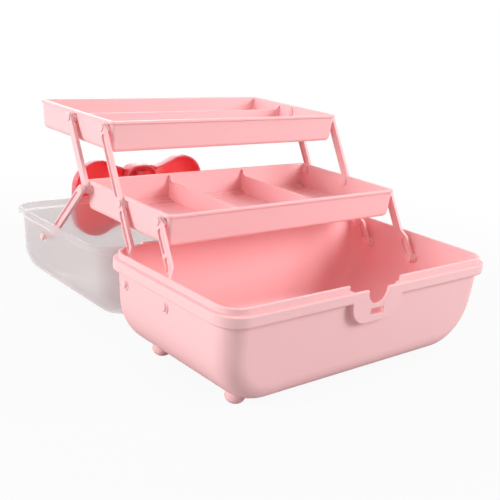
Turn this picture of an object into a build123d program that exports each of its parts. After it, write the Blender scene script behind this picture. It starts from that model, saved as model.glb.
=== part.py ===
from build123d import *
import os
from math import atan2, cos, degrees, hypot, radians, sin, tan

# Sewing box with a hinged lid and two trays that rise on arms as the lid opens.
# Modelled wide open: X runs along the box, Y from front to back, Z up, feet on Z = 0.
# All sizes in millimetres, angles in degrees.

# Base box
base_length = 300.0
base_depth = 160.0
rim_height = 85.5
wall = 2.4
end_draft = 3.5
side_draft = 3.0
end_radius = 48.0
edge_radius = 18.0
lip_height = 5.2
flange_height = 9.6
flange_reach = 4.0
flange_edge = 0.8
flange_under = 2.4
lip_edge = 0.7

# Feet
foot_height = 6.0
foot_radius = 8.2
foot_flat_radius = 4.2
foot_x = 113.0
foot_y = 50.0
foot_stud_radius = 2.3
foot_stud_length = 9.0
foot_stud_clearance = 0.1

# Front boss with its notch, where the lid's tongue and the clasp engage
boss_width = 58.0
boss_drop = 28.0
boss_corner = 17.0
notch_radius = 12.0
notch_depth = 13.0
lip_gap_width = 61.0
catch_bar = 3.0
catch_width = 15.0
catch_height = 6.0
catch_depth = 3.5

# Lid and its hinge
lid_wall = 1.8
lid_flange_height = 7.4
lid_floor_gap = 0.3
lid_crown = 23.0
lid_end_radius = 35.0
rim_gap = 0.3
lip_clearance = 0.5
tongue_clearance = 0.5
hinge_offset = 4.0
knuckle_radius = 3.6
hinge_pin_radius = 1.5
hinge_inset = 55.0
base_knuckle_width = 10.0
lid_knuckle_width = 16.0
knuckle_gap = 0.4
pin_head_radius = 2.6
pin_head_height = 1.2

# Trays
tray_side_clearance = 11.7
tray_height = 26.8
tray_wall = 2.0
tray_end_draft = 3.5
tray_side_draft = 3.0
tray_end_radius = 5.0
tray_edge_radius = 3.5
bead_reach = 1.6
bead_height = 2.8
bead_edge = 0.8
divider_thickness = 2.0
divider_drop = 7.0
fin_reach = 6.0
fin_drop = 1.2
upper_split = 85.0

# Arms and pivots
arm_reach = 66.8
open_lean = 29.5
base_pivot_y = 0.0
base_pivot_drop = 24.2
tray_pivot_drop = 6.4
front_pivot_inset = 9.7
rear_pivot_inset = 8.1
arm_width = 7.8
arm_thickness = 3.2
arm_web = 1.5
arm_rib = 1.3
pocket_head = 5.8
bridge_width = 2.6
bridge_place = 39.0
joggle_start = 21.0
joggle_run = 8.0
joggle_shift = 5.0
link_width = 8.0
link_thickness = 3.2
link_pin_reach = 113.5
link_pin_depth = 18.5
link_cap_height = 0.3

# Rivets and play between moving pieces
rivet_radius = 2.0
rivet_head_radius = 3.4
rivet_head_height = 1.0
rivet_dome_height = 1.7
crown_share = 0.85
pivot_boss_radius = 5.0
base_boss_stand = 3.65
seat_stand = 0.6
tray_seat_stand = 1.4
arm_gap = 0.7
side_play = 0.2
lane_gap = 0.5
bore_clearance = 0.05

# Bow clasp
bow_width = 162.0
bow_height = 82.0
bow_depth = 15.0
bow_wall = 2.0
bow_drop = 5.5
bow_standoff = 6.0
bow_edge = 3.0
lobe_radius = 28.0
bow_waist = 56.0
knot_width = 42.0
knot_height = 66.0
knot_corner = 19.0
knot_rise = 3.0
knot_lap = 2.0
clasp_pin_drop = 14.0
clasp_pin_out = 5.0
clasp_pin_radius = 1.5
clasp_barrel_radius = 4.0
lever_width = 14.0
lever_gap = 2.6
ear_thickness = 3.0
ear_gap = 0.3
hook_height = 4.0
hook_gap = 0.4
catch_margin = 1.0

# Derived heights and depths
lip_top = rim_height + lip_height
flange_length = base_length + 2 * flange_reach
flange_depth = base_depth + 2 * flange_reach
front_face = -flange_depth / 2
hinge_y = flange_depth / 2 + hinge_offset
hinge_x = base_length / 2 - hinge_inset
hinge_z = rim_height + rim_gap / 2
lid_near = hinge_y + hinge_offset
lid_far = lid_near + flange_depth
lid_mid = (lid_near + lid_far) / 2
overall_back = lid_far + bow_standoff + bow_depth + knot_rise
footprint_mid = (front_face + overall_back) / 2

# Derived pivots, as (Y, Z) points of the open pose
tray_depth = base_depth - 2 * wall - 2 * tray_side_clearance
pivot_spacing = (tray_depth - front_pivot_inset - rear_pivot_inset) / 2
swing_y = arm_reach * sin(radians(open_lean))
swing_z = arm_reach * cos(radians(open_lean))
base_pivot_z = lip_top - base_pivot_drop
base_front = (base_pivot_y, base_pivot_z)
base_rear = (base_pivot_y + pivot_spacing, base_pivot_z)
mid_front = (base_front[0] + swing_y, base_front[1] + swing_z)
mid_centre = (mid_front[0] + pivot_spacing, mid_front[1])
mid_rear = (mid_centre[0] + pivot_spacing, mid_front[1])
upper_front = (mid_centre[0] + swing_y, mid_centre[1] + swing_z)
upper_rear = (upper_front[0] + pivot_spacing, upper_front[1])
link_pin = (hinge_y + link_pin_reach, hinge_z - link_pin_depth)

# Derived lanes across the box, measured from the middle of its length
end_slope = tan(radians(end_draft))
base_wall_in = base_length / 2 - wall - base_pivot_drop * end_slope
lid_wall_in = base_length / 2 - lid_wall - (rim_height - link_pin[1]) * end_slope
base_boss_face = base_wall_in - base_boss_stand
low_lane = base_boss_face - side_play - arm_thickness
arm_lane = low_lane - joggle_shift
arm_outside = arm_lane + arm_thickness + side_play
link_lane = arm_outside + rivet_head_height + lane_gap
tray_length = 2 * (arm_lane - arm_gap)
tray_wall_in = tray_length / 2 - bead_reach - tray_wall - tray_pivot_drop * tan(radians(tray_end_draft))
bore_radius = rivet_radius + bore_clearance

# Derived clasp places
clasp_pin_y = lid_far + clasp_pin_out
clasp_pin_z = rim_height - clasp_pin_drop
bow_back = lid_far + bow_standoff
bow_front = bow_back + bow_depth
bow_z = rim_height - bow_drop
hook_z = rim_height + notch_depth + catch_bar + catch_margin


def section(plane, width, draft, top, bottom, crown):
    """Drafted section of a box blank, whose lower side bows down by the crown."""
    half = width / 2
    low = bottom + crown
    foot = half - (top - low) * tan(radians(draft))
    sides = Polyline((-foot, low), (-half, top), (half, top), (foot, low))
    under = Line((-foot, low), (foot, low))
    if crown:
        under = ThreePointArc((-foot, low), (0, bottom), (foot, low))
    return make_face(plane * (sides + under))


def pan(length, depth, top, bottom, ends, edges, drafts, crown=0):
    """Box blank with drafted walls; its ends sweep under and its long faces have round edges."""
    end_view = section(Plane.XZ, length, drafts[0], top, bottom, crown)
    end_view = fillet(end_view.vertices().group_by(Axis.Z)[0], ends)
    side_view = section(Plane.YZ, depth, drafts[1], top, bottom, 0)
    blank = extrude(end_view, amount=depth, both=True) & extrude(side_view, amount=length, both=True)
    long_faces = [face for face in blank.faces() if abs(face.normal_at().Y) > 0.9]
    rounded = [edge for face in long_faces for edge in face.edges() if edge.center().Z < top - 0.01]
    return fillet(rounded, edges)


def slab(length, depth, corner, bottom, top):
    """Plate with rounded corners between two heights."""
    return extrude(Pos(0, 0, bottom) * RectangleRounded(length, depth, corner), amount=top - bottom)


def block(x, y, z):
    """Box from (low, high) pairs."""
    middle = [(low + high) / 2 for low, high in (x, y, z)]
    return Pos(*middle) * Box(*(high - low for low, high in (x, y, z)))


def rod(radius, start, end, point):
    """Cylinder along X between two X places, about a (Y, Z) point."""
    return Pos((start + end) / 2, *point) * Rot(0, 90, 0) * Cylinder(radius, end - start)


def dome(radius, height, start, point):
    """Rivet head with a round crown that stands on a flat seat and points along +X."""
    head = rod(radius, start, start + height, point)
    return fillet(head.edges().group_by(Axis.X)[-1], crown_share * height)


def mirrored(shape):
    return mirror(shape, about=Plane.YZ)


def both_ends(shape):
    return [shape, mirrored(shape)]


# Base shell
def base_blank():
    return pan(base_length, base_depth, lip_top, foot_height, end_radius, edge_radius,
               (end_draft, side_draft))


def base_hollow():
    return pan(base_length - 2 * wall, base_depth - 2 * wall, lip_top, foot_height + wall,
               end_radius - wall, edge_radius - wall, (end_draft, side_draft))


def flange(height):
    """Band round the rim, with a crisp top edge and a well rounded underside."""
    ring = slab(flange_length, flange_depth, edge_radius + flange_reach, rim_height - height, rim_height)
    ring = fillet(ring.edges().group_by(Axis.Z)[0], flange_under)
    return fillet(ring.edges().group_by(Axis.Z)[-1], flange_edge)


def boss_prism(inset, top, near, far):
    """Upright block of the boss outline drawn in by the inset, between two depths."""
    low = rim_height - boss_drop + inset
    outline = Pos(0, (low + top) / 2) * Rectangle(boss_width - 2 * inset, top - low)
    outline = fillet(outline.vertices().group_by(Axis.Y)[0], boss_corner - inset)
    return Pos(0, near, 0) * extrude(Plane.XZ * outline, amount=near - far)


def front_boss():
    boss = boss_prism(0, rim_height - flange_height / 2, front_face, front_face + flange_reach + edge_radius)
    return fillet(boss.edges().group_by(Axis.Y)[0], flange_edge)


def boss_relief():
    """Hollow behind the boss, which leaves one wall thickness in front."""
    return boss_prism(wall, lip_top, front_face + wall, front_face + 2 * (flange_reach + wall))


def notch():
    depth = 2 * (flange_reach + edge_radius)
    centre_z = rim_height - notch_depth + notch_radius
    round_end = Pos(0, front_face, centre_z) * Rot(90, 0, 0) * Cylinder(notch_radius, depth)
    throat = block((-notch_radius, notch_radius), (front_face - depth / 2, front_face + depth / 2),
                   (centre_z, lip_top + lip_height))
    lip_gap = block((-lip_gap_width / 2, lip_gap_width / 2),
                    (front_face - depth / 2, front_face + depth / 2), (rim_height, lip_top + lip_height))
    return round_end + throat + lip_gap


def catch_window():
    top = rim_height - notch_depth - catch_bar
    return block((-catch_width / 2, catch_width / 2), (front_face - catch_depth, front_face + catch_depth),
                 (top - catch_height, top))


def hinge_knuckle(x, width, root_y):
    """Barrel on the hinge line with a web down to the rim beside it."""
    barrel = rod(knuckle_radius, x - width / 2, x + width / 2, (hinge_y, hinge_z))
    web = block((x - width / 2, x + width / 2), sorted((root_y, hinge_y)),
                (rim_height - flange_height + flange_edge, hinge_z))
    return barrel + web


def foot_places():
    return [Pos(x, y, 0) for x in (-foot_x, foot_x) for y in (-foot_y, foot_y)]


def base_shell():
    shell = base_blank() + flange(flange_height) + front_boss() - base_hollow()
    shell = fillet(shell.edges().group_by(Axis.Z)[-1], lip_edge)
    shell -= boss_relief()
    shell -= notch()
    shell -= catch_window()
    knuckle_shift = (lid_knuckle_width + base_knuckle_width) / 2 + knuckle_gap
    for x in (hinge_x - knuckle_shift, hinge_x + knuckle_shift):
        knuckle = hinge_knuckle(x, base_knuckle_width, hinge_y - hinge_offset - flange_reach / 2)
        shell += both_ends(knuckle)
    for point in (base_front, base_rear):
        seat = base_wall_in + wall + seat_stand
        shell += both_ends(rod(pivot_boss_radius, base_boss_face, seat, point))
        shell -= both_ends(rod(bore_radius, low_lane, seat + wall, point))
    pin_bore = rod(hinge_pin_radius + bore_clearance, -base_length, base_length, (hinge_y, hinge_z))
    stud_hole = Cylinder(foot_stud_radius + foot_stud_clearance, rim_height)
    return shell - pin_bore - [place * stud_hole for place in foot_places()]


def base_feet():
    profile = Polyline((0, 0), (foot_flat_radius, 0))
    bulge = SagittaArc((foot_flat_radius, 0), (foot_radius, foot_height), -foot_height / 5)
    column = foot_height + end_radius / 4
    sides = Polyline((foot_radius, foot_height), (foot_radius, column), (0, column), (0, 0))
    button = revolve(make_face(Plane.XZ * (profile + bulge + sides)), Axis.Z)
    stud = Pos(0, 0, foot_stud_length / 2 + foot_height / 2) * Cylinder(foot_stud_radius, foot_stud_length)
    blank = base_blank()
    return [place * (button + stud) - (blank - place * stud) for place in foot_places()]


# Lid shell
def lid_shell():
    top = rim_height
    shell = pan(base_length, base_depth, top, lid_floor_gap, lid_end_radius, edge_radius,
                (end_draft, side_draft), lid_crown)
    shell += flange(lid_flange_height)
    tongue_radius = notch_radius - tongue_clearance
    tongue_y = (flange_depth / 2 - flange_reach + lip_clearance, flange_depth / 2)
    tongue_z = rim_height + notch_depth - notch_radius
    tongue = Pos(0, sum(tongue_y) / 2, tongue_z) * Rot(90, 0, 0)
    shell += tongue * Cylinder(tongue_radius, tongue_y[1] - tongue_y[0])
    shell += block((-tongue_radius, tongue_radius), tongue_y, (rim_height - lip_height, tongue_z))
    shell -= pan(base_length - 2 * lid_wall, base_depth - 2 * lid_wall, top, lid_floor_gap + lid_wall,
                 lid_end_radius - lid_wall, edge_radius - lid_wall, (end_draft, side_draft), lid_crown)
    recess = lip_height + lip_clearance
    shell -= slab(base_length + 2 * lip_clearance, base_depth + 2 * lip_clearance,
                  edge_radius + lip_clearance, rim_height - recess, rim_height)
    shell = Pos(0, lid_mid, 0) * shell
    shell += both_ends(hinge_knuckle(hinge_x, lid_knuckle_width, lid_near + flange_reach / 2))
    seat = lid_wall_in + lid_wall + seat_stand
    shell += both_ends(rod(pivot_boss_radius, link_lane + link_thickness + side_play, seat, link_pin))
    shell -= both_ends(rod(bore_radius, link_lane, seat + lid_wall, link_pin))
    shell -= rod(hinge_pin_radius + bore_clearance, -base_length, base_length, (hinge_y, hinge_z))
    ear_x = lever_width / 2 + ear_gap
    ear = rod(clasp_barrel_radius, ear_x, ear_x + ear_thickness, (clasp_pin_y, clasp_pin_z))
    ear += block((ear_x, ear_x + ear_thickness), (lid_far - flange_reach - lid_wall, clasp_pin_y),
                 (clasp_pin_z - clasp_barrel_radius, clasp_pin_z + clasp_barrel_radius))
    shell += both_ends(ear)
    ear_end = ear_x + 2 * ear_thickness
    return shell - rod(clasp_pin_radius + bore_clearance, -ear_end, ear_end, (clasp_pin_y, clasp_pin_z))


def hinge_pin():
    reach = lid_knuckle_width / 2 + knuckle_gap + base_knuckle_width
    point = (hinge_y, hinge_z)
    shank = rod(hinge_pin_radius, hinge_x - reach, hinge_x + reach, point)
    return shank + dome(pin_head_radius, pin_head_height, hinge_x + reach, point)


# Trays
def tray_blank(rim, middle, inset, floor):
    size = (tray_length - 2 * bead_reach - 2 * inset, tray_depth - 2 * bead_reach - 2 * inset)
    shape = pan(*size, rim, rim - tray_height + floor, tray_end_radius - inset, tray_edge_radius - inset,
                (tray_end_draft, tray_side_draft))
    return Pos(0, middle, 0) * shape


def divider(plane, start, end, rim):
    """Low wall between two tray walls, with a curved fin that rises at each of them."""
    low = rim - tray_height
    high = rim - divider_drop
    tip = rim - fin_drop
    reach = fin_reach + bead_reach + tray_wall
    ends = Polyline((start, tip), (start, low), (end, low), (end, tip))
    top = SagittaArc((start, tip), (start + reach, high), fin_reach / 6)
    top += Line((start + reach, high), (end - reach, high))
    top += SagittaArc((end - reach, high), (end, tip), fin_reach / 6)
    return extrude(make_face(plane * (ends + top)), amount=divider_thickness / 2, both=True)


def tray(front_pivot, pivots, dividers):
    front = front_pivot[0] - front_pivot_inset
    middle = front + tray_depth / 2
    rim = front_pivot[1] + tray_pivot_drop
    hollow = tray_blank(rim, middle, tray_wall, tray_wall)
    bead = slab(tray_length, tray_depth, tray_edge_radius + bead_reach, rim - bead_height, rim)
    bead = fillet(bead.edges().group_by(Axis.Z)[0], bead_edge)
    shell = tray_blank(rim, middle, 0, 0) + Pos(0, middle, 0) * bead - hollow
    shell = fillet(shell.edges().group_by(Axis.Z)[-1], bead_edge)
    inside = tray_blank(rim, middle, tray_wall / 2, tray_wall / 2)
    shell += [wall_piece & inside for wall_piece in dividers(rim, front)]
    for point in pivots:
        seat = tray_wall_in - tray_seat_stand
        shell += both_ends(rod(pivot_boss_radius, seat, arm_lane - side_play, point))
        shell -= both_ends(rod(bore_radius, seat - tray_wall, arm_lane, point))
    return shell


def mid_dividers(rim, front):
    wall_piece = divider(Plane.YZ, front, front + tray_depth, rim)
    return [Pos(x, 0, 0) * wall_piece for x in (-tray_length / 6, tray_length / 6)]


def upper_dividers(rim, front):
    wall_piece = divider(Plane.XZ, -tray_length / 2, tray_length / 2, rim)
    return [Pos(0, front + upper_split, 0) * wall_piece]


# Arms and links
def strip(start, low, high, thickness, bends):
    """Side view of a bar: X lanes low and high joined by a joggle, and its length along Z."""
    inner = [(low, start), (low, bends[0]), (high, bends[1]), (high, bends[2])]
    outer = [(x + thickness, z) for x, z in reversed(inner)]
    return make_face(Plane.XZ * Polyline(*inner, *outer, close=True))


def stadium(start, end, width):
    """Round-ended bar outline between two places along Z, as a prism along X."""
    outline = SlotOverall(end - start, width, rotation=90)
    return extrude(Plane.YZ * Pos(0, (start + end) / 2) * outline, amount=base_length, both=True)


def bar(length, low, high, thickness, width, eyes, outer_pockets, inner_pockets=()):
    """Channel bar standing on its lower pivot, with eyes, and pockets that leave a web on one side."""
    bends = (joggle_start, joggle_start + joggle_run, length + width)
    blank = extrude(strip(-width, low, high, thickness, bends), amount=width, both=True)
    blank &= stadium(-width / 2, length + width / 2, width)
    for pockets, shift in ((outer_pockets, arm_web), (inner_pockets, -arm_web)):
        trough = extrude(strip(-width, low + shift, high + shift, thickness, bends), amount=width, both=True)
        for start, end in pockets:
            blank -= trough & stadium(start, end, width - 2 * arm_rib)
    for place in eyes:
        blank -= rod(bore_radius, 0, base_length, (0, place))
    return blank


def stand(shape, point, lean):
    """Tip a bar back by its lean and set its lower pivot on a (Y, Z) point."""
    return Pos(0, *point) * Rot(-lean, 0, 0) * shape


# Above the joggle the arms that stand in the base open outwards, and below it they open inwards
foot_pocket = (pocket_head, joggle_start)
knee = joggle_start + joggle_run / 2


def front_arm():
    outer = [(knee, bridge_place - bridge_width / 2), (bridge_place + bridge_width / 2, arm_reach - pocket_head)]
    shape = bar(arm_reach, low_lane, arm_lane, arm_thickness, arm_width, (0, arm_reach), outer, [foot_pocket])
    return stand(shape, base_front, open_lean)


def long_arm():
    length = 2 * arm_reach
    outer = [(knee, arm_reach - pocket_head), (arm_reach + pocket_head, length - pocket_head)]
    shape = bar(length, low_lane, arm_lane, arm_thickness, arm_width, (0, arm_reach, length), outer, [foot_pocket])
    return stand(shape, base_rear, open_lean)


def upper_arm():
    inner = [(pocket_head, arm_reach - pocket_head)]
    shape = bar(arm_reach, arm_lane, arm_lane, arm_thickness, arm_width, (0, arm_reach), [], inner)
    return stand(shape, mid_rear, open_lean)


def lid_link():
    run_y = mid_rear[0] - link_pin[0]
    run_z = mid_rear[1] - link_pin[1]
    length = hypot(run_y, run_z)
    shape = bar(length, link_lane, link_lane, link_thickness, link_width, (0,),
                [(pocket_head, length - pocket_head)])
    outside = link_lane + link_thickness
    shape += rod(rivet_head_radius, outside - arm_web, outside + link_cap_height, (0, length))
    return stand(shape, link_pin, degrees(atan2(run_y, run_z)))


# Rivets
def rivet(inner_seat, outer_seat, point, domes):
    """Shank between two seats, with a low head towards the middle and one facing outwards."""
    shank = rod(rivet_radius, inner_seat, outer_seat, point)
    inner = mirrored(dome(rivet_head_radius, domes[0], -inner_seat, point))
    return shank + inner + dome(rivet_head_radius, domes[1], outer_seat, point)


def rivets(inner_seat, outer_seat, points, domes):
    return [piece for point in points for piece in both_ends(rivet(inner_seat, outer_seat, point, domes))]


def tray_rivets(points):
    return rivets(tray_wall_in - tray_seat_stand, arm_outside, points, (rivet_head_height, rivet_head_height))


# Bow clasp
def bow_outline(inset):
    """Two round lobes joined by hollow curves over and under the waist, drawn in by the inset."""
    lobe_x = bow_width / 2 - lobe_radius
    lobe_z = bow_height / 2 - lobe_radius
    step = bow_waist / 2 - lobe_z
    hollow_radius = (lobe_x**2 + step**2 - lobe_radius**2) / (2 * (lobe_radius - step))
    radius = lobe_radius - inset
    share = radius / (hollow_radius + lobe_radius)
    join = (lobe_x - lobe_x * share, lobe_z + (step + hollow_radius) * share)
    side = lobe_x + radius
    lobe = ThreePointArc(join, (lobe_x, lobe_z + radius), (side, lobe_z))
    lobe += Line((side, lobe_z), (side, -lobe_z))
    lobe += ThreePointArc((side, -lobe_z), (lobe_x, -lobe_z - radius), (join[0], -join[1]))
    over = ThreePointArc((-join[0], join[1]), (0, bow_waist / 2 - inset), join)
    return make_face(lobe + over + mirror(lobe, about=Plane.YZ) + mirror(over, about=Plane.XZ))


def facing_back(sketch, near, far):
    """Prism of a bow-plane sketch between two depths behind the lid."""
    return Pos(0, near, bow_z) * extrude(Plane.XZ * sketch, amount=near - far)


def knot_outline(inset):
    return RectangleRounded(knot_width - 2 * inset, knot_height - 2 * inset, knot_corner - inset)


def bow_loops():
    shell = facing_back(bow_outline(0), bow_back, bow_front)
    shell = fillet(shell.edges().group_by(Axis.Y)[-1], bow_edge)
    shell -= facing_back(bow_outline(bow_wall), bow_back - bow_wall, bow_front - bow_wall)
    return shell - facing_back(knot_outline(knot_lap), bow_back - bow_wall, bow_front + bow_wall)


def bow_knot():
    cap = facing_back(knot_outline(0), bow_front, bow_front + knot_rise)
    cap = fillet(cap.edges().group_by(Axis.Y)[-1], knot_rise * 0.9)
    cap += facing_back(knot_outline(knot_lap + bore_clearance), bow_back, bow_front)
    inner = knot_lap + bore_clearance + bow_wall
    return cap - facing_back(knot_outline(inner), bow_back - bow_wall, bow_front)


def clasp_lever():
    half = lever_width / 2
    point = (clasp_pin_y, clasp_pin_z)
    top = hook_z + hook_height
    lever = rod(clasp_barrel_radius, -half, half, point)
    lever += block((-half, half), (lid_far + lever_gap, bow_back), (clasp_pin_z, top))
    lever += block((catch_margin - half, half - catch_margin), (lid_far + hook_gap, bow_back), (hook_z, top))
    for x in (-half, half - bow_wall):
        lever += block((x, x + bow_wall), (clasp_pin_y, bow_front), (clasp_pin_z, top))
    return lever - rod(clasp_pin_radius + bore_clearance, -lever_width, lever_width, point)


def clasp_pin():
    half = lever_width / 2 + ear_gap + ear_thickness
    point = (clasp_pin_y, clasp_pin_z)
    shank = rod(clasp_pin_radius, -half, half, point)
    return shank + both_ends(dome(pin_head_radius, pin_head_height, half, point))


pieces = {
    "base_shell": base_shell(),
    "base_feet": base_feet(),
    "lid_shell": lid_shell(),
    "mid_tray": tray(mid_front, (mid_front, mid_centre, mid_rear), mid_dividers),
    "upper_tray": tray(upper_front, (upper_front, upper_rear), upper_dividers),
    "base_pivot_rivets": rivets(low_lane - side_play, base_wall_in + wall + seat_stand,
                                (base_front, base_rear), (rivet_head_height, rivet_dome_height)),
    "mid_tray_rivets": tray_rivets((mid_front, mid_centre, mid_rear)),
    "upper_tray_rivets": tray_rivets((upper_front, upper_rear)),
    "lid_link_rivets": rivets(link_lane - side_play, lid_wall_in + lid_wall + seat_stand, (link_pin,),
                              (rivet_head_height, rivet_dome_height)),
    "bow_loops": bow_loops(),
    "bow_knot": bow_knot(),
    "clasp_lever": clasp_lever(),
    "clasp_pin": clasp_pin(),
}
for name, make in (("hinge_pin", hinge_pin), ("front_arm", front_arm), ("long_arm", long_arm),
                   ("upper_arm", upper_arm), ("lid_link", lid_link)):
    right = make()
    pieces[name + "_right"] = right
    pieces[name + "_left"] = mirrored(right)

# The row's origin is the middle of the open footprint, on the floor
os.makedirs("parts", exist_ok=True)
to_origin = Pos(0, -footprint_mid, 0)
for name, shape in pieces.items():
    solids = shape if isinstance(shape, list) else [shape]
    placed = Compound([to_origin * solid for piece in solids for solid in piece.solids()])
    export_step(placed, "parts/" + name + ".step")

for name, point in (("hinge", (hinge_y, hinge_z)), ("base_front", base_front), ("base_rear", base_rear),
                    ("mid_front", mid_front), ("mid_centre", mid_centre), ("mid_rear", mid_rear),
                    ("upper_front", upper_front), ("upper_rear", upper_rear), ("link_pin", link_pin),
                    ("clasp_pin", (clasp_pin_y, clasp_pin_z))):
    print(f"{name}: Y {point[0] - footprint_mid:.4f} Z {point[1]:.4f}")
print(f"footprint middle {footprint_mid:.4f}, tray {tray_length:.3f} x {tray_depth:.3f}")
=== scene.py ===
import bpy
import numpy as np
from mathutils import Matrix, Vector


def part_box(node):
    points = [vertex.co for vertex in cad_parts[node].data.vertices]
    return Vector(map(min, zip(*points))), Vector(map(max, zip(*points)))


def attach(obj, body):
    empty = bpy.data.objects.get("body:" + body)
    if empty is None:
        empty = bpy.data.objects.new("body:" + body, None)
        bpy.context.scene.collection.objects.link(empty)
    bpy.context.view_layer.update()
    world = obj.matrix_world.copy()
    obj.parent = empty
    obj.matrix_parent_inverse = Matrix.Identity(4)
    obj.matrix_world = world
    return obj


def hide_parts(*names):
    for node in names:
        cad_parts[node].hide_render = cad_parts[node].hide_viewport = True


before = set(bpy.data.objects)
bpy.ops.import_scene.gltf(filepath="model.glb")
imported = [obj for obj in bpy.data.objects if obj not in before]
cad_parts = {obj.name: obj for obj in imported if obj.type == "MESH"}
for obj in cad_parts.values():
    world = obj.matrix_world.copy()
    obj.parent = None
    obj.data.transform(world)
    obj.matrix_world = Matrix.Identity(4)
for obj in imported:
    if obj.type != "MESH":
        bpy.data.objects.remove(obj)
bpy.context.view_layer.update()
scene = bpy.context.scene


# One output socket of a node tree. Arithmetic on it adds Math nodes, and make() adds any other node.
class Wire:
    def __init__(self, tree, socket=None):
        self.tree = tree
        self.socket = socket

    def make(self, kind, settings=None, inputs=None, out=0):
        node = self.tree.nodes.new(kind)
        for name, value in (settings or {}).items():
            setattr(node, name, value)
        for name, value in (inputs or {}).items():
            if isinstance(value, Wire):
                self.tree.links.new(value.socket, node.inputs[name])
            else:
                node.inputs[name].default_value = value
        return Wire(self.tree, node.outputs[out]) if node.outputs else None

    def math(self, operation, first, second):
        return self.make("ShaderNodeMath", {"operation": operation}, {0: first, 1: second})

    def __add__(self, other):
        return self.math("ADD", self, other)

    def __radd__(self, other):
        return self.math("ADD", other, self)

    def __sub__(self, other):
        return self.math("SUBTRACT", self, other)

    def __rsub__(self, other):
        return self.math("SUBTRACT", other, self)

    def __mul__(self, other):
        return self.math("MULTIPLY", self, other)

    def __rmul__(self, other):
        return self.math("MULTIPLY", other, self)


def newMaterial(name):
    material = bpy.data.materials.new(name)
    material.use_nodes = True
    material.node_tree.nodes.clear()
    return material, Wire(material.node_tree)


def noise(start, place, scale, detail, rough=0.5):
    inputs = {"Vector": place, "Scale": scale, "Detail": detail, "Roughness": rough}
    return start.make("ShaderNodeTexNoise", None, inputs)


def blendColours(start, factor, low, high):
    settings = {"data_type": "RGBA"}
    return start.make("ShaderNodeMix", settings, {0: factor, 6: low, 7: high}, out=2)


# Moulded plastic: cloudy pigment, patchy sheen and a fine tool texture, all on Object coordinates
def mouldedPlastic(name, look):
    material, start = newMaterial(name)
    place = start.make("ShaderNodeTexCoord", None, None, "Object")
    cloud = noise(start, place, *look["cloud"])
    speck = noise(start, place, *look["speck"])
    grain = noise(start, place, *look["grain"])
    ripple = noise(start, place, *look["ripple"])
    colour = blendColours(start, cloud, look["deep"], look["pale"])
    if "paintedGlowColour" in look:  # painted glow: rims get a paler colour, set by the piece's own attribute, standing in for light that would shine through the thin plastic
        paintedGlow = start.make("ShaderNodeAttribute", {"attribute_name": "paintedGlow"}, None, "Fac")
        colour = blendColours(start, paintedGlow, colour, look["paintedGlowColour"])
    middle = 0.5  # a noise's middle value
    rough = look["rough"] + look["roughSpread"] * (cloud - middle) + look["roughSpeck"] * (speck - middle)
    relief = grain * look["grainShare"] + ripple
    soft = start.make("ShaderNodeBevel", {"samples": look["edgeSamples"]}, {"Radius": look["edgeRound"]})
    bump = start.make("ShaderNodeBump", None, {"Strength": look["bump"], "Distance": look["bumpDepth"],
                                               "Height": relief, "Normal": soft})
    inputs = {"Base Color": colour, "Roughness": rough, "Normal": bump, "IOR": look["ior"],
              "Specular IOR Level": look["shine"], "Subsurface Weight": look["glow"],
              "Subsurface Radius": look["glowRadius"], "Subsurface Scale": look["glowDepth"],
              "Transmission Weight": look["clear"], "Alpha": look["alpha"]}
    surface = start.make("ShaderNodeBsdfPrincipled", None, inputs)
    start.make("ShaderNodeOutputMaterial", None, {"Surface": surface})
    return material


# Noises are scale, detail and roughness; lengths are in metres
pinkLook = {"deep": (0.958, 0.556, 0.570, 1), "pale": (0.968, 0.594, 0.606, 1),
            "cloud": (9.0, 3.0), "speck": (420.0, 2.0), "grain": (1500.0, 2.0, 0.6), "ripple": (60.0, 1.0),
            "rough": 0.36, "roughSpread": 0.10, "roughSpeck": 0.06,
            "grainShare": 0.35, "bump": 0.10, "bumpDepth": 0.0004, "edgeRound": 0.0007, "edgeSamples": 4,
            "ior": 1.49, "shine": 0.25, "glow": 0.0, "glowRadius": (1.0, 0.08, 0.08), "glowDepth": 0.020,
            "clear": 0.0, "alpha": 1.0}
rivetLook = dict(pinkLook, rough=0.30, cloud=(40.0, 3.0), edgeRound=0.0003)
# Red bow plastic; its rim colour is a painted glow, a paler red standing in for light through and on thin
# edges
redLook = dict(pinkLook, deep=(0.955, 0.094, 0.108, 1), pale=(0.975, 0.120, 0.136, 1), cloud=(14.0, 3.0),
               rough=0.26, glow=0.95, shine=0.4, paintedGlowColour=(0.965, 0.190, 0.230, 1))
frostLook = dict(pinkLook, deep=(0.850, 0.808, 0.815, 1), pale=(0.905, 0.868, 0.873, 1), cloud=(12.0, 3.0),
                 rough=0.40, roughSpread=0.08, bump=0.06, shine=0.10, clear=0.55, alpha=0.40)
steelLook = {"light": (0.62, 0.61, 0.60, 1), "dark": (0.42, 0.41, 0.41, 1), "streak": (900.0, 3.0),
             "drawn": 0.04, "rough": 0.22, "roughSpread": 0.2, "bump": 0.1, "bumpDepth": 0.0002}


# Drawn steel wire: fine streaks along X
def pinSteel(name, look):
    material, start = newMaterial(name)
    place = start.make("ShaderNodeTexCoord", None, None, "Object")
    along = start.make("ShaderNodeMapping", None, {"Vector": place, "Scale": (look["drawn"], 1, 1)})
    streak = noise(start, along, *look["streak"])
    bump = start.make("ShaderNodeBump", None, {"Strength": look["bump"], "Distance": look["bumpDepth"],
                                               "Height": streak})
    inputs = {"Base Color": blendColours(start, streak, look["dark"], look["light"]), "Metallic": 1.0,
              "Roughness": look["rough"] + look["roughSpread"] * streak, "Normal": bump}
    surface = start.make("ShaderNodeBsdfPrincipled", None, inputs)
    start.make("ShaderNodeOutputMaterial", None, {"Surface": surface})
    return material


finishes = {"body_pink": mouldedPlastic("bodyPink", pinkLook),
            "rivet_pink": mouldedPlastic("rivetPink", rivetLook),
            "bow_red": mouldedPlastic("bowRed", redLook),
            "lid_frosted": mouldedPlastic("lidFrosted", frostLook),
            "pin_steel": pinSteel("pinSteel", steelLook)}


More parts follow.
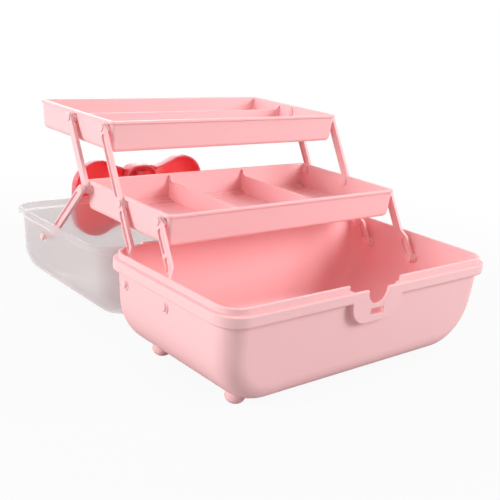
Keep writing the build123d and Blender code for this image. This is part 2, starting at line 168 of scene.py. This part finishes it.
def finishOf(node):
    if node == "lid_shell":
        return "lid_frosted"
    if node in ("bow_loops", "bow_knot", "clasp_lever"):
        return "bow_red"
    if "rivets" in node:
        return "rivet_pink"
    return "pin_steel" if "pin" in node else "body_pink"


for nodeName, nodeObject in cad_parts.items():
    nodeObject.data.materials.clear()
    nodeObject.data.materials.append(finishes[finishOf(nodeName)])
print("finishes:", len(finishes))


# Rows by columns of points become quads. Columns close into a ring, and each end row closes with a fan on
# its middle. Faces are turned outwards by the sign of the volume and numbered from the first point on.
def gridFaces(grid, first):
    rows, cols = grid.shape[:2]
    count = rows * cols
    points = np.vstack([grid.reshape(count, -1), grid[0].mean(0), grid[-1].mean(0)])
    index = np.arange(count).reshape(rows, cols)
    index = np.hstack([index, index[:, :1]])
    quads = np.stack([index[:-1, :-1], index[:-1, 1:], index[1:, 1:], index[1:, :-1]], -1).reshape(-1, 4)
    startFan = np.stack([index[0, 1:], index[0, :-1], np.full(cols, count)], -1)
    endFan = np.stack([np.full(cols, count + 1), index[-1, :-1], index[-1, 1:]], -1)
    a, b, c, d = (points[corner, :3] for corner in quads.T)
    volume = np.einsum("ij,ij->", a, np.cross(b, c)) + np.einsum("ij,ij->", a, np.cross(c, d))
    turn = -1 if volume < 0 else 1
    faces = [(first + part[:, ::turn]).tolist() for part in (quads, startFan, endFan)]
    return points, sum(faces, [])


creaseAngle = 0.7  # radians; sharper edges stay crisp


def buildPiece(name, grids, finish, body):
    points, faces = np.zeros((0, grids[0].shape[-1])), []
    for grid in grids:
        gridPoints, gridQuads = gridFaces(grid, len(points))
        points = np.vstack([points, gridPoints])
        faces += gridQuads
    mesh = bpy.data.meshes.new(name)
    mesh.from_pydata(points[:, :3], [], faces)
    if points.shape[1] > 3:  # the fourth column is the share of painted glow, paler where a thin wall would let light through
        paintedGlow = mesh.attributes.new("paintedGlow", "FLOAT", "POINT")
        paintedGlow.data.foreach_set("value", points[:, 3].astype(np.float32))
    mesh.shade_smooth()
    mesh.set_sharp_from_angle(angle=creaseAngle)
    mesh.materials.append(finishes[finish])
    piece = bpy.data.objects.new(name, mesh)
    scene.collection.objects.link(piece)
    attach(piece, body)
    print("piece:", name, len(faces), "faces")
    return piece


bowLow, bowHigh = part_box("bow_loops")
bow = {"middle": (bowLow + bowHigh) / 2, "back": bowLow.y, "halfWidth": (bowHigh.x - bowLow.x) / 2,
       "halfHeight": (bowHigh.z - bowLow.z) / 2, "depth": bowHigh.y - bowLow.y,
       "lobeRadius": 0.028, "halfWaist": 0.028, "wall": 0.002, "edgeDepth": 0.0075,
       "crownPlace": 0.42, "pinch": 0.55, "pleats": 7.0, "pleatDepth": 0.0011, "pleatStart": 0.25,
       "samples": 240, "dipSteps": 80, "lobeSteps": 160, "faceRows": 25, "edgePacking": 1.6, "rimSteps": 9,
       "paintedGlowFade": 0.12}  # share of the way to the knot over which a rim's painted glow fades
# The knot's seat and rib values are shares of painted glow: paler red standing in for light on and through
# them
knot = {"half": (0.021, 0.033), "power": 3.2, "wall": 0.0022, "ceiling": 0.36, "fit": 0.00008,
        "rise": 0.003, "folds": 7, "foldDepth": 0.0004, "seatPaintedGlow": 0.6, "steps": 120, "rows": 15,
        "ribHalf": 0.0008, "ribDepth": 0.0034, "ribFrom": (0.003, 0.026), "ribTo": (0.017, -0.012),
        "ribSteps": 12, "ribPaintedGlow": 0.8}


# A quarter of the bow's edge is a hollow arc over the waist, a round lobe arc and a short straight,
# spaced evenly by length and mirrored to the whole edge, with its outward normal from neighbouring points
def bowEdge():
    radius = bow["lobeRadius"]
    lobeX, lobeZ = bow["halfWidth"] - radius, bow["halfHeight"] - radius
    step = bow["halfWaist"] - lobeZ
    hollow = (lobeX**2 + step**2 - radius**2) / (2 * (radius - step))
    joint = np.arctan2(step + hollow, -lobeX)
    dip = np.linspace(-np.pi / 2, joint - np.pi, bow["dipSteps"])
    lobe = np.linspace(joint, 0, bow["lobeSteps"])
    x = np.concatenate([hollow * np.cos(dip), lobeX + radius * np.cos(lobe), [bow["halfWidth"]]])
    z = np.concatenate([lobeZ + step + hollow + hollow * np.sin(dip), lobeZ + radius * np.sin(lobe), [0]])
    length = np.concatenate([[0], np.cumsum(np.hypot(np.diff(x), np.diff(z)))])
    place = np.linspace(0, length[-1], bow["samples"] // 4 + 1)
    x, z = np.interp(place, length, x), np.interp(place, length, z)
    x = np.concatenate([x[:-1], x[:0:-1], -x[:-1], -x[:0:-1]])
    z = np.concatenate([z[:-1], -z[:0:-1], -z[:-1], z[:0:-1]])
    edge = np.stack([x, z], -1)
    along = np.roll(edge, -1, 0) - np.roll(edge, 1, 0)
    along /= np.linalg.norm(along, axis=1, keepdims=True)
    return edge, np.stack([-along[:, 1], along[:, 0]], -1)


# Squarish ring at the given angles: (|x|/a)^p + (|z|/b)^p = 1
def knotRing(angle, inset):
    halfX, halfZ = (half - inset for half in knot["half"])
    power = knot["power"]
    reach = (np.abs(np.cos(angle) / halfX)**power + np.abs(np.sin(angle) / halfZ)**power)**(-1 / power)
    return np.stack([reach * np.cos(angle), reach * np.sin(angle)], -1)


# Flat (x, z) points about the bow's middle, at a depth from its back, with the share of painted glow there
def bowPoints(flat, depth, paintedGlow=0.0):
    x = bow["middle"].x + flat[..., 0]
    y = bow["back"] + depth
    z = bow["middle"].z + flat[..., 1]
    return np.stack(np.broadcast_arrays(x, y, z, paintedGlow), -1)


# Height of the puffed face: a quarter ellipse up from the edge, easing down to the pinch at the knot,
# with pleats that fan out of the knot and fade towards the edge
def puff(share, angle):
    rise = np.sqrt(np.clip(1 - (1 - np.minimum(share / bow["crownPlace"], 1))**2, 0, 1))
    fall = np.clip((share - bow["crownPlace"]) / (1 - bow["crownPlace"]), 0, 1)
    body = rise - (1 - bow["pinch"]) * fall**2
    lean = np.abs(np.cos(angle))
    fan = np.cos(bow["pleats"] * np.arcsin(np.sin(angle))) * lean**2
    pleat = fan * (share * fall + bow["pleatStart"] * fall)
    return (bow["depth"] - bow["edgeDepth"]) * body - bow["pleatDepth"] * (1 - pleat) * fall


# Half circle over a rim's edge, from its inside to its outside
def rimSweep():
    return np.linspace(0, np.pi, bow["rimSteps"])[:, None]


# One loop runs from the knot round its lobe and back to the knot. Across, it goes from the knot over the
# hollow inside, up the inner wall, round the back rim, down the outer wall and back over the puffed face.
def bowLoop(side):
    edge, normal = bowEdge()
    angle = np.arctan2(edge[:, 1], edge[:, 0])
    hole = knotRing(angle, -knot["fit"])
    wall = bow["wall"]
    beyond = np.linalg.norm(edge, axis=1) - np.linalg.norm(hole, axis=1)
    kept = (beyond > wall) & (edge[:, 0] * side > 0)
    edge, normal, angle, hole = edge[kept], normal[kept], angle[kept], hole[kept]
    share = np.linspace(0, 1, bow["faceRows"])[:, None]**bow["edgePacking"]
    lift = bow["edgeDepth"] + puff(share, angle[None])
    innerEdge = edge - wall * normal
    inner = innerEdge + share[..., None] * (hole - innerEdge)
    outer = edge + share[..., None] * (hole - edge)
    rim = edge - (wall / 2) * (1 + np.cos(rimSweep()))[..., None] * normal
    rimDepth = wall / 2 * (1 - np.sin(rimSweep()))
    # painted glow: full on the rim, fading over the puffed face towards the knot
    fade = np.exp(-share / bow["paintedGlowFade"])
    across = [bowPoints(inner, lift - wall)[::-1], bowPoints(rim, rimDepth, 1.0),
              bowPoints(outer, lift, fade)]
    return np.concatenate(across).swapaxes(0, 1)


# The knot is a cup: a flat ceiling, a straight wall with a round rim at the back, and a domed, folded cap
def bowKnot():
    angle = np.linspace(0, 2 * np.pi, knot["steps"], endpoint=False)
    wall, seat = knot["wall"], bow["depth"]
    ceiling = knot["ceiling"] * seat
    outline = knotRing(angle, 0)
    hollow = knotRing(angle, wall)
    share = np.linspace(0, 1, knot["rows"])[1:-1, None]
    rim = hollow + (1 - np.cos(rimSweep()))[..., None] / 2 * (outline - hollow)
    rimDepth = wall / 2 * (1 - np.sin(rimSweep()))
    dome = knot["rise"] * np.sqrt(1 - share**2)
    fold = knot["foldDepth"] * np.cos(knot["folds"] * np.pi * share * np.cos(angle)) * (1 - share**4)
    # painted glow: full on the knot's rim, part on its seat
    rows = [bowPoints(share[..., None] * hollow, ceiling), bowPoints(hollow, ceiling - wall / 2)[None],
            bowPoints(rim, rimDepth, 1.0), bowPoints(outline, seat, knot["seatPaintedGlow"])[None],
            bowPoints(share[::-1, :, None] * outline, seat + dome[::-1] + fold[::-1])]
    return np.concatenate(rows)


# A rib is a thin web from the knot's ceiling with a round crest: a flat strip's outline carried along a line
def knotRib(side):
    start, stop = (np.array([side, 1]) * np.array(knot[end]) for end in ("ribFrom", "ribTo"))
    line = start + np.linspace(0, 1, knot["ribSteps"])[:, None, None] * (stop - start)
    across = np.array([stop[1] - start[1], start[0] - stop[0]]) / np.hypot(*(stop - start))
    turn = rimSweep()[:, 0]
    offset = knot["ribHalf"] * np.concatenate([[-1], -np.cos(turn), [1]])
    ceiling = knot["ceiling"] * bow["depth"]
    root, crest = ceiling + knot["wall"], ceiling - knot["ribDepth"]
    depth = np.concatenate([[root], crest - knot["ribHalf"] * np.sin(turn), [root]])
    # painted glow on the rib's crest, none at its roots
    paintedGlow = np.concatenate([[0], np.full(len(turn), knot["ribPaintedGlow"]), [0]])
    return bowPoints(line + offset[None, :, None] * across, depth[None], paintedGlow[None])


loopsPiece = buildPiece("bowLoops", [bowLoop(-1), bowLoop(1)], "bow_red", "clasp")
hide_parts("bow_loops")
knotPiece = buildPiece("bowKnot", [bowKnot(), knotRib(-1), knotRib(1)], "bow_red", "clasp")
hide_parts("bow_knot")


trayLow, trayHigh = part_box("mid_tray")
tray = {"rim": trayHigh.z, "back": trayHigh.y, "length": trayHigh.x - trayLow.x, "floor": trayLow.z + 0.0020,
        "bead": 0.0016, "wall": 0.0020, "draftAngle": 3.0, "sunk": 0.0008,
        "ledgeHalf": 0.1270, "ledgeTreads": (0.0090, 0.0048), "ledgeRise": 0.0013, "ledgeRound": 0.0003,
        "ledgeSteps": 40, "finPlaces": (-1 / 6, 1 / 6), "finTop": 0.0012, "finFoot": 0.0080,
        "finRound": 0.0014, "finReach": 0.0056, "finHalf": 0.0011, "finChamfer": 0.0002,
        "finTurn": 0.35, "finSteps": 8}


# An outline of distances from the back wall and heights carried along X, drawn in a little at its ends
def trayStrip(away, height, places, insets, drop):
    outline = np.stack([away, height], -1)
    middle = outline.mean(0)
    pull = 1 - np.array(insets)[:, None, None] / np.ptp(outline, 0).min() * 2
    flat = middle + pull * (outline - middle)
    inside = tray["back"] - tray["bead"] - tray["wall"] - np.tan(np.radians(tray["draftAngle"])) * drop
    x = np.broadcast_to(places[:, None], flat.shape[:2])
    return np.stack([x, inside - flat[..., 0], tray["rim"] - drop + flat[..., 1]], -1)


# Two shallow steps along the foot of the tray's back wall
def trayLedge():
    sunk, rise, cut = tray["sunk"], tray["ledgeRise"], tray["ledgeRound"]
    wide, slim = tray["ledgeTreads"]
    away = [-sunk, wide, wide, wide - cut, slim, slim, slim - cut, -sunk]
    height = [-sunk, -sunk, rise - cut, rise, rise, 2 * rise - cut, 2 * rise, 2 * rise]
    places = np.linspace(-tray["ledgeHalf"], tray["ledgeHalf"], tray["ledgeSteps"])
    return trayStrip(away, height, places, 0 * places, tray["rim"] - tray["floor"])


# Round-topped fin that stands on a divider where it meets the back wall
def trayFin(share):
    sunk, bend, foot, top = tray["sunk"], tray["finRound"], tray["finFoot"], tray["finTop"]
    turn = np.linspace(tray["finTurn"], np.pi / 2, tray["finSteps"])
    away = np.concatenate([[-sunk, tray["finReach"]], bend * (1 + np.cos(turn)), [-sunk]])
    height = np.concatenate([[-foot, -foot], -top - bend * (1 - np.sin(turn)), [-top]])
    half, chamfer = tray["finHalf"], tray["finChamfer"]
    places = share * tray["length"] + np.array([-half, chamfer - half, half - chamfer, half])
    return trayStrip(away, height, places, (chamfer, 0, 0, chamfer), 0.0)


trimGrids = [trayLedge()] + [trayFin(share) for share in tray["finPlaces"]]
buildPiece("midTrayTrim", trimGrids, "body_pink", "mid_tray")


# Camera at the photograph's viewing angle: its axes are unit vectors in the object's frame
camera = {"eye": (-0.4961, -0.5903, 0.2990), "right": (0.76690, -0.63596, 0.08616),
          "down": (-0.12211, -0.27640, -0.95325), "forward": (0.63005, 0.72053, -0.28962),
          "lens": 60.29, "sensor": 36.0}


def aimCamera():
    right, down, forward, eye = (Vector(camera[name]) for name in ("right", "down", "forward", "eye"))
    matrix = Matrix([axis.to_4d() for axis in (right, -down, -forward, eye)]).transposed()
    matrix[3] = (0, 0, 0, 1)
    data = bpy.data.cameras.new("camera")
    data.sensor_width = camera["sensor"]
    data.lens = camera["lens"]
    holder = bpy.data.objects.new("camera", data)
    scene.collection.objects.link(holder)
    holder.matrix_world = matrix
    scene.camera = holder


# Each lamp is its place, watts and size
studio = {"bounces": 12, "worldFill": 0.25, "target": (0.0, 0.0, 0.09),
          "lamps": {"leftLamp": ((-1.7, 0.36, 0.58), 25.0, 0.9), "rightLamp": ((1.3, -1.5, 1.0), 35.5, 1.0),
                    "topLamp": ((0.0, -0.2, 1.8), 7.0, 1.2), "backLamp": ((0.3, 1.7, 0.7), 21.0, 1.6)},
          "floorHalf": 6.0, "floorColour": (0.52, 0.517, 0.517, 1), "floorShown": 0.93,
          "shadowReach": (0.25, 0.75), "white": (1, 1, 1, 1)}


def hangLamps():
    for name, (place, watts, size) in studio["lamps"].items():
        lamp = bpy.data.lights.new(name, "AREA")
        lamp.energy = watts
        lamp.size = size
        holder = bpy.data.objects.new(name, lamp)
        scene.collection.objects.link(holder)
        holder.location = place
        aim = Vector(studio["target"]) - Vector(place)
        holder.rotation_euler = aim.to_track_quat("-Z", "Y").to_euler()


# The world shows as white to the camera and in gloss and clear plastic, and lights the object only a little
def lightWorld():
    world = bpy.data.worlds.new("studio")
    world.use_nodes = True
    world.node_tree.nodes.clear()
    scene.world = world
    scene.cycles.diffuse_bounces = studio["bounces"]  # pale trays light each other many times over
    start = Wire(world.node_tree)
    eye, gloss, through = (start.make("ShaderNodeLightPath", None, None, name)
                           for name in ("Is Camera Ray", "Is Glossy Ray", "Is Transmission Ray"))
    seen = start.math("MAXIMUM", eye, start.math("MAXIMUM", gloss, through))
    strength = studio["worldFill"] + (1 - studio["worldFill"]) * seen
    backdrop = start.make("ShaderNodeBackground", None, {"Color": studio["white"], "Strength": strength})
    start.make("ShaderNodeOutputWorld", None, {"Surface": backdrop})


# A pale floor that mostly shows as the white backdrop and keeps part of the object's shadow
def layFloor():
    half = studio["floorHalf"]
    corners = [(-half, -half, 0), (half, -half, 0), (half, half, 0), (-half, half, 0)]
    mesh = bpy.data.meshes.new("floor")
    mesh.from_pydata(corners, [], [(0, 1, 2, 3)])
    material, start = newMaterial("paleFloor")
    path = start.make("ShaderNodeLightPath", None, None, "Is Camera Ray")
    place = start.make("ShaderNodeTexCoord", None, None, "Object")
    reach = start.make("ShaderNodeVectorMath", {"operation": "LENGTH"}, {0: place}, "Value")
    near, far = studio["shadowReach"]  # the shadow fades out between these distances
    fade = start.make("ShaderNodeMapRange", {"interpolation_type": "SMOOTHSTEP"},
                      {"Value": reach, "From Min": near, "From Max": far,
                       "To Min": studio["floorShown"], "To Max": 1.0})
    paper = start.make("ShaderNodeBsdfDiffuse", None, {"Color": studio["floorColour"]})
    white = start.make("ShaderNodeEmission", None, {"Color": studio["white"], "Strength": 1.0})
    mixed = start.make("ShaderNodeMixShader", None, {0: path * fade, 1: paper, 2: white})
    start.make("ShaderNodeOutputMaterial", None, {"Surface": mixed})
    mesh.materials.append(material)
    floor = bpy.data.objects.new("floor", mesh)
    scene.collection.objects.link(floor)


aimCamera()
hangLamps()
lightWorld()
layFloor()
scene.view_settings.view_transform = "Standard"
print("studio: camera, lamps and floor")
